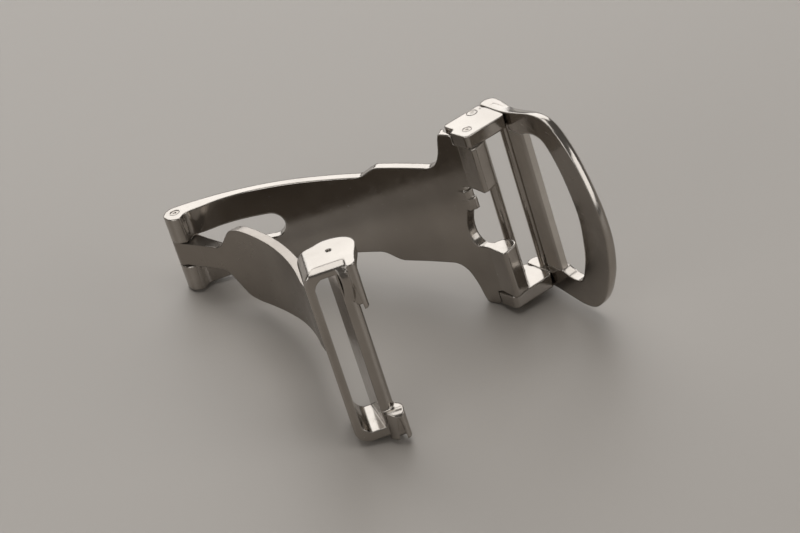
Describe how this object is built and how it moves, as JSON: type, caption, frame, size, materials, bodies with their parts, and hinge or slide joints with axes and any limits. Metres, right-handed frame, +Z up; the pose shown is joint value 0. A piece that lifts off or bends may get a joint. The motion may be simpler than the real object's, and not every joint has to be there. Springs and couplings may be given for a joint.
{
  "type": "folding watch strap clasp",
  "caption": "Polished steel folding clasp for a watch strap, with a curved blade, a folding strap box and a rounded buckle frame, standing on edge half open.",
  "frame": {"origin": "middle of the footprint at table height, with the clasp standing on its long edge", "axes": "+Z up from the table, +Y from the buckle frame's far end towards the fold hinge, +X towards the buckle frame"},
  "size_m": [0.0334, 0.0414, 0.0231],
  "materials": {
    "polished_steel": "polished stainless steel",
    "satin_steel": "satin stainless steel",
    "pin_steel": "turned steel pin with a fine satin end"
  },
  "bodies": {
    "blade": {"main_blade": "polished_steel", "fold_pin": "pin_steel"},
    "strap_end": {"short_blade": "polished_steel", "strap_box": "polished_steel"},
    "link": {"upper_cheek": "polished_steel", "lower_cheek": "polished_steel", "cross_rod": "polished_steel", "upper_link_pin": "pin_steel", "lower_link_pin": "pin_steel"},
    "buckle": {"buckle_frame": "polished_steel", "grip_bar": "satin_steel", "roller_bar": "polished_steel", "upper_frame_pin": "pin_steel", "lower_frame_pin": "pin_steel"}
  },
  "joints": [
    {"name": "fold_hinge", "type": "hinge", "parent": "blade", "child": "strap_end", "pos_m": [-0.01064, 0.0188, 0.0045], "axis": [-0.0907, 0.1655, 0.982], "range_deg": [-110, 30]},
    {"name": "link_hinge", "type": "hinge", "parent": "blade", "child": "link", "pos_m": [0.01016, -0.00768, 0.01089], "axis": [-0.0907, 0.1655, 0.982], "range_deg": [-50, 5]},
    {"name": "buckle_hinge", "type": "hinge", "parent": "link", "child": "buckle", "pos_m": [0.01485, -0.00528, 0.01092], "axis": [-0.0907, 0.1655, 0.982], "range_deg": [0, 110]}
  ]
}
